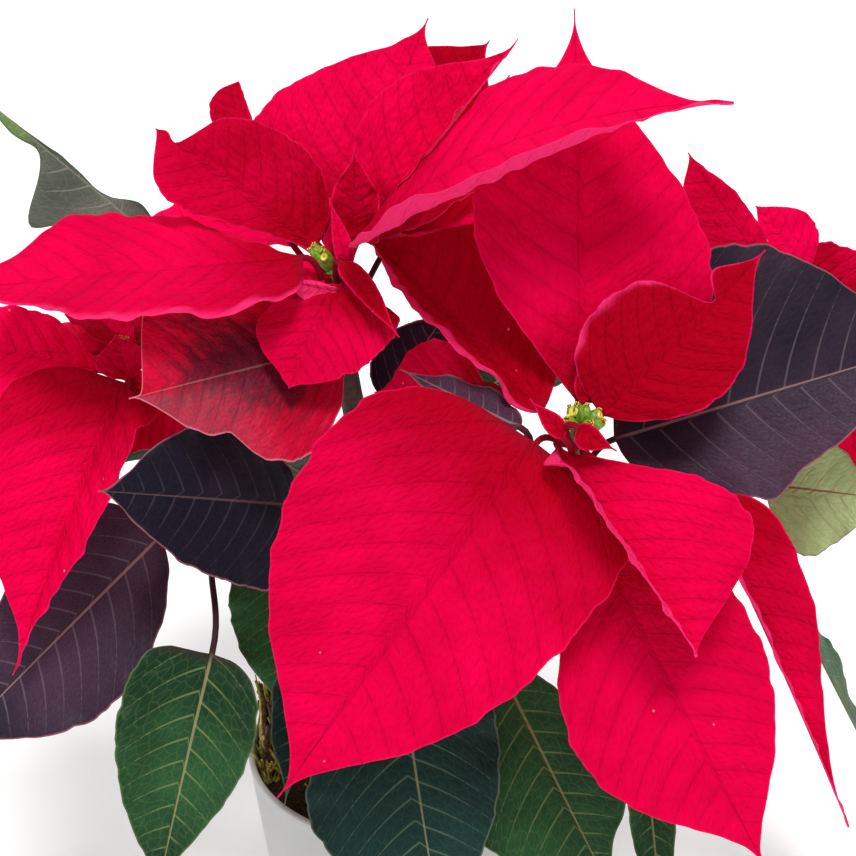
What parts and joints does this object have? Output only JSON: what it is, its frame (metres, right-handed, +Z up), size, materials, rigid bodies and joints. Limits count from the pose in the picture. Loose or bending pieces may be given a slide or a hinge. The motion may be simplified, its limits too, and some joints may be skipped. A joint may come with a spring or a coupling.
{
  "type": "potted poinsettia",
  "caption": "Potted poinsettia: crimson bracts in layers round small green cyathia over dark green leaves, in a plain tapered pot of soil.",
  "frame": {"origin": "middle of the pot's flat base", "axes": "+Z up the pot's axis; the picture looks along +Y from the front, with +X to its right"},
  "size_m": [0.4007, 0.3354, 0.4143],
  "materials": {
    "bracts_back": "crimson, softly veined, satin",
    "bracts_front": "crimson, softly veined, satin",
    "bracts_left": "crimson, softly veined, satin",
    "bracts_right": "crimson, softly veined, satin",
    "bracts_top": "crimson, softly veined, satin",
    "cyathia_back": "yellow-green, satin",
    "cyathia_front": "yellow-green, satin",
    "cyathia_left": "yellow-green, satin",
    "cyathia_right": "yellow-green, satin",
    "cyathia_top": "yellow-green, satin",
    "leaf_back_far_left": "mid green with light veins, satin",
    "leaf_back_far_right": "mid green with light veins, satin",
    "leaf_back_left": "mid green with light veins, satin",
    "leaf_back_low_left": "mid green with light veins, satin",
    "leaf_back_low_right": "mid green with light veins, satin",
    "leaf_back_right": "mid green with light veins, satin",
    "leaf_centre_narrow": "purplish charcoal green with pale veins, satin",
    "leaf_centre_short": "purplish charcoal green with pale veins, satin",
    "leaf_front_far_right": "mid green with light veins, satin",
    "leaf_front_inner": "dark blue-green with light veins, satin",
    "leaf_front_left": "mid green with light veins, satin",
    "leaf_front_middle": "dark blue-green with light veins, satin",
    "leaf_front_right": "mid green with light veins, satin",
    "leaf_left_inner": "mid green with light veins, satin",
    "leaf_left_low": "purplish charcoal green with pale veins, satin",
    "leaf_left_middle": "purplish charcoal green with pale veins, satin",
    "leaf_red_middle": "crimson, softly veined, satin",
    "leaf_right_large": "purplish charcoal green with pale veins, satin",
    "leaf_right_low": "mid green with light veins, satin",
    "leaf_right_turned": "pale olive underside with a reddish midrib, matt",
    "leaf_top_behind": "purplish charcoal green with pale veins, satin",
    "leaf_two_tone": "dark purple middle with crimson edges, satin",
    "leaf_upper_left": "grey-green with pale veins, satin",
    "pot": "smooth light grey glaze, slightly glossy",
    "soil": "dark brown potting soil, matt",
    "stem": "woody below, green to dark purple above"
  },
  "bodies": {
    "root": {"bracts_back": "bracts_back", "bracts_front": "bracts_front", "bracts_left": "bracts_left", "bracts_right": "bracts_right", "bracts_top": "bracts_top", "cyathia_back": "cyathia_back", "cyathia_front": "cyathia_front", "cyathia_left": "cyathia_left", "cyathia_right": "cyathia_right", "cyathia_top": "cyathia_top", "leaf_back_far_left": "leaf_back_far_left", "leaf_back_far_right": "leaf_back_far_right", "leaf_back_left": "leaf_back_left", "leaf_back_low_left": "leaf_back_low_left", "leaf_back_low_right": "leaf_back_low_right", "leaf_back_right": "leaf_back_right", "leaf_centre_narrow": "leaf_centre_narrow", "leaf_centre_short": "leaf_centre_short", "leaf_front_far_right": "leaf_front_far_right", "leaf_front_inner": "leaf_front_inner", "leaf_front_left": "leaf_front_left", "leaf_front_middle": "leaf_front_middle", "leaf_front_right": "leaf_front_right", "leaf_left_inner": "leaf_left_inner", "leaf_left_low": "leaf_left_low", "leaf_left_middle": "leaf_left_middle", "leaf_red_middle": "leaf_red_middle", "leaf_right_large": "leaf_right_large", "leaf_right_low": "leaf_right_low", "leaf_right_turned": "leaf_right_turned", "leaf_top_behind": "leaf_top_behind", "leaf_two_tone": "leaf_two_tone", "leaf_upper_left": "leaf_upper_left", "pot": "pot", "soil": "soil", "stem": "stem"}
  },
  "joints": []
}
